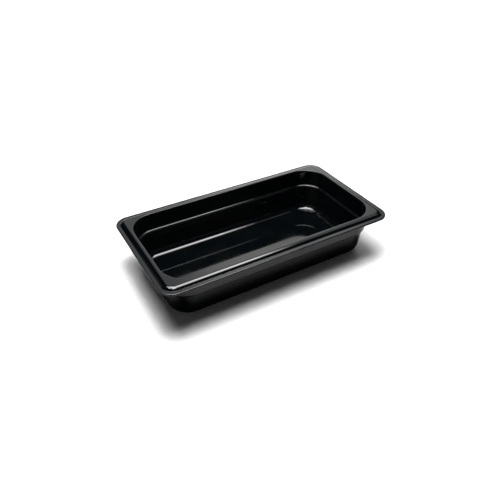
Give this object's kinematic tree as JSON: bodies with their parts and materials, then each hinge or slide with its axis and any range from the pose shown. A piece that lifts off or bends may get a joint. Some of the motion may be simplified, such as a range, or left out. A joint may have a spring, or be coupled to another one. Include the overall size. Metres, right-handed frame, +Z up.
{
  "type": "food pan",
  "caption": "Shallow rectangular food pan with a stepped rim to hang by, a stacking shoulder, tapered walls and a flat floor.",
  "frame": {"origin": "on the surface that the pan stands on, under the centre of the pan", "axes": "+X along the long side, +Y across the short side, +Z up out of the mouth"},
  "size_m": [0.325, 0.176, 0.065],
  "materials": {
    "pan": "black moulded polycarbonate, polished inside and on the rim, slightly softer outside"
  },
  "bodies": {
    "root": {"pan": "pan"}
  },
  "joints": []
}
